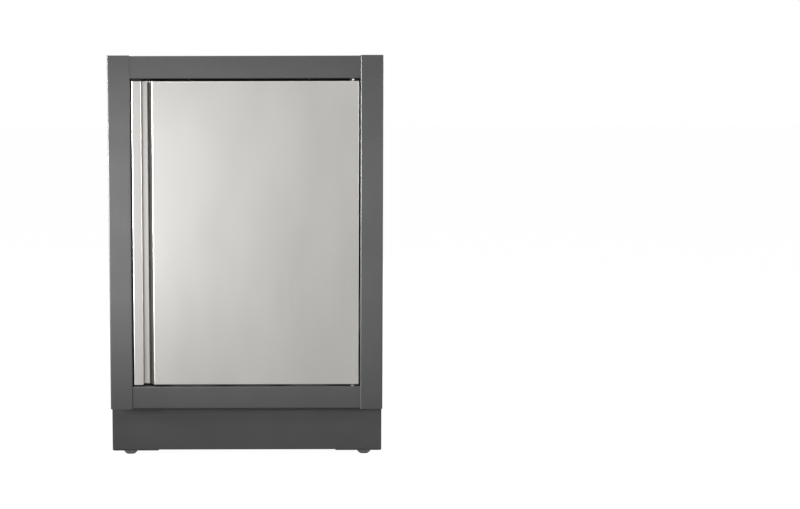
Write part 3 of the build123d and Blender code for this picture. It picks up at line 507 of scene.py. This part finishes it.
# Door: a folded skin of 304 stainless steel with a number 4 finish, its grain upright, and a pan
# of the same sheet spot-welded into its back. The handle's lip is a hemmed strip along a channel.
# The real grain is about 0.1 mm wide, too fine to show, so its lines are drawn 1.6 mm wide.
STEEL_DARK = "#B6B4B1"
STEEL_LIGHT = "#BCBAB7"
STEEL_CLOUD_MM = 90
STEEL_CLOUD_STRETCH = (1, 1, 2.5)
STEEL_GRAIN_MM = 1.6
STEEL_GRAIN_STRETCH = (1, 1, 160)
STEEL_GRAIN_DEPTH_MM = 0.03
STEEL_GRAIN_STRENGTH = 0.07
STEEL_ROUGHNESS = (0.32, 0.36)
SPOT_RINGS_MM = ((-0.3, 3.4), (0.02, 3.4), (0.14, 2.9), (0.15, 2.5), (0.05, 1.9), (0.02, 0.8))
SPOT_STEP_MM = 85
SPOT_INSET_MM = 9
SPOT_LEFT_MM = -212
SPOT_RIGHT_MM = 226
SPOT_SEED = 51

brushed_steel, tree, shader = new_material("brushed_stainless_304")
finish_surface(
    tree, shader, mottle(tree, STEEL_CLOUD_MM, SOFT_DETAIL, STEEL_CLOUD_STRETCH),
    (STEEL_DARK, STEEL_LIGHT), mottle(tree, STEEL_GRAIN_MM, FINE_DETAIL, STEEL_GRAIN_STRETCH),
    STEEL_ROUGHNESS, STEEL_GRAIN_DEPTH_MM, STEEL_GRAIN_STRENGTH)
shader.inputs["Metallic"].default_value = 1.0
finish_nodes(brushed_steel, "door_skin", "handle_lip", "door_inner_pan", "door_stiffeners")


def spaced(start, end, gaps):
    """Places from start to end with this many even gaps."""
    return [start + (end - start) * i / gaps for i in range(gaps + 1)]


low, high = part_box("door_inner_pan")
bottom, top = low[2] / MM + SPOT_INSET_MM, high[2] / MM - SPOT_INSET_MM
gaps_up = math.ceil((top - bottom) / SPOT_STEP_MM)
gaps_across = math.ceil((SPOT_RIGHT_MM - SPOT_LEFT_MM) / SPOT_STEP_MM)
spots = [(x, z) for x in (SPOT_LEFT_MM, SPOT_RIGHT_MM) for z in spaced(bottom, top, gaps_up)]
spots += [(x, z) for z in (bottom, top)
          for x in spaced(SPOT_LEFT_MM, SPOT_RIGHT_MM, gaps_across)[1:-1]]
fix("pan_spot_welds", turned("spot_weld", SPOT_RINGS_MM),
    [((x * MM, high[1], z * MM), (0, 1, 0)) for x, z in spots],
    brushed_steel, SPOT_SEED, "door")

# Hinge pins: zinc-plated brackets spot-welded in the door's right corners carry turned pins in
# nylon bushes. The pins take the feet's zinc, painted darker as painted shade. A knurled knob on a
# rod draws the upper pin down.
KNOB_R_MM = 5.0
KNOB_L_MM = 6.0
KNOB_ROD_R_MM = 2.5
KNOB_SIDES = 120
KNOB_FRONT_RINGS_MM = ((0, 4.3), (0.4, 4.65))
KNOB_END_RINGS_MM = ((5.6, 4.65), (6.0, 4.2), (6.0, 2.2), (5.7, 1.6), (5.6, 0.6))
KNURLS = 20
KNURL_DEPTH_MM = 0.35
KNURL_SLOPE = 0.55
KNURL_RINGS = 12
KNURL_BAND_MM = (0.6, 5.2)


def knurl(height):
    """Rule for a diamond knurl's radius at a height."""
    def reach(angle):
        ridges = [math.cos(KNURLS * (angle + way * KNURL_SLOPE * height / KNOB_R_MM))
                  for way in (-1, 1)]
        return KNOB_R_MM - KNURL_DEPTH_MM * (2 - sum(ridges)) / 4
    return reach


finish_nodes(zinc_plate, "top_pin_bracket", "bottom_pin_bracket", "bottom_pivot_nut")
# The pivot pins get the zinc darkened as painted shade
finish_nodes(shade_darkened_zinc, "top_pivot_pin", "bottom_pivot_pin")
finish_nodes(nylon, "door_top_bush", "door_bottom_bush", "rail_top_bush")
low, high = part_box("top_pin_knob")
rod_l = (high[1] - low[1]) / MM - KNOB_L_MM
band = [(height, knurl(height)) for height in spaced(*KNURL_BAND_MM, KNURL_RINGS)]
knurled_knob = turned("knurled_pull_knob", [
    (0, KNOB_ROD_R_MM), (rod_l, KNOB_ROD_R_MM),
    *[(rod_l + height, reach)
      for height, reach in (*KNOB_FRONT_RINGS_MM, *band, *KNOB_END_RINGS_MM)],
], KNOB_SIDES)
knurled_knob.transform(
    Matrix.Translation(((low[0] + high[0]) / 2, low[1], (low[2] + high[2]) / 2))
    @ Matrix.Rotation(math.radians(-90), 4, "X"))
knurled_knob.materials.append(zinc_plate)
piece = new_object(knurled_knob.name, knurled_knob)
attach(piece, "top_pin")
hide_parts("top_pin_knob")

# Spring of the upper pin: zinc-plated spring wire. Its end turns are wound closed, and rest on
# the lower ear and under the pin's collar. It shortens as the pin is drawn down: by 12 mm, and
# 0.02 mm more to stay clear of the collar.
SPRING_WIRE_R_MM = 0.5
SPRING_TURNS = 11
SPRING_STEPS = 28
SPRING_SIDES = 10
SPRING_END_SPREAD = 1.04
SPRING_SHARP_DEG = 60
low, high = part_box("top_pin_spring")
coil_r = (high[0] - low[0]) / 2 / MM - SPRING_WIRE_R_MM
spring_length = (high[2] - low[2]) / MM
end_pitch = 2 * SPRING_WIRE_R_MM * SPRING_END_SPREAD
open_pitch = (spring_length - 2 * SPRING_WIRE_R_MM - 2 * end_pitch) / (SPRING_TURNS - 2)
points = []
for step in range(SPRING_TURNS * SPRING_STEPS + 1):
    turn = step / SPRING_STEPS
    open_turns = min(max(turn - 1, 0), SPRING_TURNS - 2)
    rise = SPRING_WIRE_R_MM + open_turns * open_pitch + (turn - open_turns) * end_pitch
    out = Vector((math.cos(2 * math.pi * turn), math.sin(2 * math.pi * turn), 0))
    pitch = open_pitch if 1 < turn < SPRING_TURNS - 1 else end_pitch
    along = Vector((-out.y, out.x, pitch / (2 * math.pi * coil_r))).normalized()
    across = along.cross(out)
    for side in range(SPRING_SIDES):
        angle = 2 * math.pi * side / SPRING_SIDES
        points.append((out * (coil_r + SPRING_WIRE_R_MM * math.cos(angle))
                       + across * SPRING_WIRE_R_MM * math.sin(angle) + Vector((0, 0, rise))) * MM)
spring = ringed("coiled_wire_spring", points, SPRING_SIDES, SPRING_SHARP_DEG)
spring.transform(Matrix.Translation(((low[0] + high[0]) / 2, (low[1] + high[1]) / 2, low[2])))
spring.materials.append(zinc_plate)
piece = new_object(spring.name, spring)
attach(piece, "door")
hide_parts("top_pin_spring")
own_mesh(piece)

# Stop at the door's free side: a folded angle, coated with the frame and riveted to the post.
# Rubber bumpers meet the door, and two magnetic catches in nylon housings hold it. Small socket
# screws fix the housings.
STOP_RIVETS = 6
STOP_RIVET_END_MM = 22
STOP_RIVET_SEED = 61
CATCH_SOCKET_FLATS_MM = 1.5
CATCH_SCREW_END_MM = 2.6
CATCH_SCREW_SEED = 71
catch_socket = hexagon(CATCH_SOCKET_FLATS_MM)
catch_screw = turned("catch_screw", (
    (-1.2, 1.0), (-0.05, 1.0), (-0.05, 1.9), (0.15, 2.0), (0.45, 1.95), (0.7, 1.5), (0.75, 1.0),
    (0.75, catch_socket), (0.2, catch_socket), (0.2, 0.2),
))
finish_nodes(powder_coat, "door_stop_angle")
finish_nodes(rubber, "door_bumpers")
finish_nodes(nylon, "catch_housings")
finish_nodes(zinc_plate, "strike_plates")
low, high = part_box("door_stop_angle")
stop_sheet = solids("catch_housings")[0][0][1] - low[1]
leg_mid = (low[1] + stop_sheet + high[1]) / 2
fix("stop_blind_rivets", blind_rivet,
    [((low[0] + stop_sheet, leg_mid, height), (1, 0, 0))
     for height in spaced(low[2] + STOP_RIVET_END_MM * MM, high[2] - STOP_RIVET_END_MM * MM,
                          STOP_RIVETS - 1)],
    powder_coat, STOP_RIVET_SEED, "cabinet")
fix("catch_screws", catch_screw,
    [(((house_low.x + house_high.x) / 2, low[1], end), (0, -1, 0))
     for house_low, house_high in solids("catch_housings")
     for end in (house_low.z + CATCH_SCREW_END_MM * MM, house_high.z - CATCH_SCREW_END_MM * MM)],
    zinc_plate, CATCH_SCREW_SEED, "cabinet")

# Magnets of the catches: a pressed and fired ferrite block, dark and matt, between two pole
# plates of bare rolled steel that carry its pull to the strike plate. The fired grain is drawn
# coarser than it is.
FERRITE = "#2A2826"
POLE_STEEL = "#8E8D8B"
FERRITE_HALF_MM = 2.5
FERRITE_GRAIN_MM = 1.1
FERRITE_GRAIN_DEPTH_MM = 0.04
FERRITE_GRAIN_STRENGTH = 0.2
FERRITE_ROUGHNESS = (0.45, 0.65)
magnet, tree, shader = new_material("ferrite_and_rolled_steel")
low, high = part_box("catch_magnets")
where = add_node(tree, "ShaderNodeTexCoord").outputs["Object"]
across = add_node(tree, "ShaderNodeSeparateXYZ", inputs={"Vector": where}).outputs["X"]
off = add_node(tree, "ShaderNodeMath", {"operation": "SUBTRACT"}, {
    0: across, 1: (low[0] + high[0]) / 2}).outputs[0]
away = add_node(tree, "ShaderNodeMath", {"operation": "ABSOLUTE"}, {0: off}).outputs[0]
pole = add_node(tree, "ShaderNodeMath", {"operation": "GREATER_THAN"}, {
    0: away, 1: FERRITE_HALF_MM * MM}).outputs[0]
finish_surface(tree, shader, pole, (FERRITE, POLE_STEEL),
               mottle(tree, FERRITE_GRAIN_MM, FINE_DETAIL), FERRITE_ROUGHNESS,
               FERRITE_GRAIN_DEPTH_MM, FERRITE_GRAIN_STRENGTH)
tree.links.new(pole, shader.inputs["Metallic"])
finish_nodes(magnet, "catch_magnets")

# Studio: a pale floor, a white world and soft lamps. The floor's paint is dark, so that it throws
# little light up, and its white is a glow that only the camera and gloss see. The world lights
# the object faintly and is white to the camera and in gloss.
FLOOR_HALF = 30.0
FLOOR_SEEN = 0.98
FLOOR_MIRRORED = 0.6
FLOOR_PAINT = "#595959"
WORLD_WHITE = "#FFFFFF"
WORLD_ON_OBJECT = 0.12
floor_mesh = bpy.data.meshes.new("studio_floor")
floor_mesh.from_pydata([(x, y, 0) for x, y in ((-1, -1), (1, -1), (1, 1), (-1, 1))], [],
                       [(0, 1, 2, 3)])
floor_mesh.transform(Matrix.Scale(FLOOR_HALF, 4))
studio_floor = new_object("studio_floor", floor_mesh)

floor_paint = bpy.data.materials.new("pale_floor")
floor_paint.use_nodes = True
tree = floor_paint.node_tree
tree.nodes.clear()
rays = add_node(tree, "ShaderNodeLightPath")
seen = add_node(tree, "ShaderNodeMath", {"operation": "MULTIPLY"},
                {0: rays.outputs["Is Camera Ray"], 1: FLOOR_SEEN})
mirrored = add_node(tree, "ShaderNodeMath", {"operation": "MULTIPLY_ADD"},
                    {0: rays.outputs["Is Glossy Ray"], 1: FLOOR_MIRRORED, 2: seen.outputs[0]})
paint = add_node(tree, "ShaderNodeBsdfDiffuse", inputs={"Color": linear(FLOOR_PAINT)})
glow = add_node(tree, "ShaderNodeEmission", inputs={"Strength": mirrored.outputs[0]})
both = add_node(tree, "ShaderNodeAddShader", inputs={0: paint.outputs[0], 1: glow.outputs[0]})
add_node(tree, "ShaderNodeOutputMaterial", inputs={"Surface": both.outputs[0]})
floor_mesh.materials.append(floor_paint)

world = bpy.data.worlds.new("studio")
bpy.context.scene.world = world
world.use_nodes = True
tree = world.node_tree
tree.nodes.clear()
rays = add_node(tree, "ShaderNodeLightPath")
white = add_node(tree, "ShaderNodeMath", {"operation": "MAXIMUM"},
                 {0: rays.outputs["Is Camera Ray"], 1: rays.outputs["Is Glossy Ray"]})
level = add_node(tree, "ShaderNodeMapRange", inputs={
    "Value": white.outputs[0], "To Min": WORLD_ON_OBJECT, "To Max": 1.0})
sky = add_node(tree, "ShaderNodeBackground", inputs={
    "Color": linear(WORLD_WHITE), "Strength": level.outputs["Result"]})
add_node(tree, "ShaderNodeOutputWorld", inputs={"Surface": sky.outputs[0]})

bpy.context.scene.view_settings.view_transform = "Standard"

# Lamps: a name, a place, a width and height, a power, and whether it also lights matt surfaces.
# Those that don't are there for what the steel shows of them.
LAMPS_AIM = (0, -0.3, 0.5)
LAMPS = (
    ("key_left", (-2.4, -2.3, 1.15), (0.35, 0.35), 26, True),
    ("side_left", (-3.0, -0.75, 1.0), (0.5, 0.5), 55, True),
    ("side_right", (3.0, -0.75, 1.0), (0.5, 0.5), 34, True),
    ("overhead_softbox", (-0.6, -2.2, 2.2), (0.6, 0.6), 16, True),
    ("near_left_softbox", (-1.2, -2.5, 0.45), (0.7, 0.8), 2.4, False),
    ("front_left_softbox", (-0.58, -2.6, 0.37), (0.7, 0.7), 2.8, False),
    ("front_right_strip", (2.4, -2.6, 0.6), (0.25, 1.2), 15, False),
    ("back_softbox", (1.4, 3.4, 1.6), (1.5, 1.5), 90, True),
)


def facing_from(place, target):
    """Matrix of a lamp that stands at a place and faces a target."""
    aim = Vector(target) - Vector(place)
    return Matrix.Translation(place) @ aim.to_track_quat("-Z", "Y").to_matrix().to_4x4()


for name, place, size, power, lights_paint in LAMPS:
    lamp = bpy.data.lights.new(name, "AREA")
    lamp.shape = "RECTANGLE"
    lamp.size, lamp.size_y = size
    lamp.energy = power
    stand = new_object(name, lamp)
    stand.visible_diffuse = lights_paint
    stand.matrix_world = facing_from(place, LAMPS_AIM)

# A soft-edged spot from the left lights the middle of the front more than its ends
MIDDLE_SPOT_AT = (-2.4, -1.6, 0.6)
MIDDLE_SPOT_AIM = (0, -0.3, 0.53)
MIDDLE_SPOT_CONE_DEG = 22
MIDDLE_SPOT_POWER = 800
MIDDLE_SPOT_EDGE = 1.0
MIDDLE_SPOT_R = 0.15
spot = bpy.data.lights.new("middle_spot", "SPOT")
spot.energy = MIDDLE_SPOT_POWER
spot.spot_size = math.radians(MIDDLE_SPOT_CONE_DEG)
spot.spot_blend = MIDDLE_SPOT_EDGE
spot.shadow_soft_size = MIDDLE_SPOT_R
spot_stand = new_object("middle_spot", spot)
spot_stand.matrix_world = facing_from(MIDDLE_SPOT_AT, MIDDLE_SPOT_AIM)

# Camera: where the photograph was taken from, a little right of the middle and just below the
# top's height, looking slightly down. Its lens is shifted, so that the object stands at the left.
PHOTO_W = 800
FOCAL_PX = 1786
PRINCIPAL_X_PX = 275.7
SENSOR_MM = 36
CAMERA_AT = (0.0662, -4.262, 0.8503)
CAMERA_TILT_DEG = 5.58
CAMERA_ROLL_DEG = -0.138
camera_data = bpy.data.cameras.new("camera")
camera_data.sensor_width = SENSOR_MM
camera_data.lens = SENSOR_MM * FOCAL_PX / PHOTO_W
camera_data.shift_x = (PHOTO_W / 2 - PRINCIPAL_X_PX) / PHOTO_W
camera = new_object("camera", camera_data)
camera.matrix_world = (
    Matrix.Translation(CAMERA_AT)
    @ Matrix.Rotation(math.radians(90 - CAMERA_TILT_DEG), 4, "X")
    @ Matrix.Rotation(math.radians(CAMERA_ROLL_DEG), 4, "Z")
)
bpy.context.scene.camera = camera
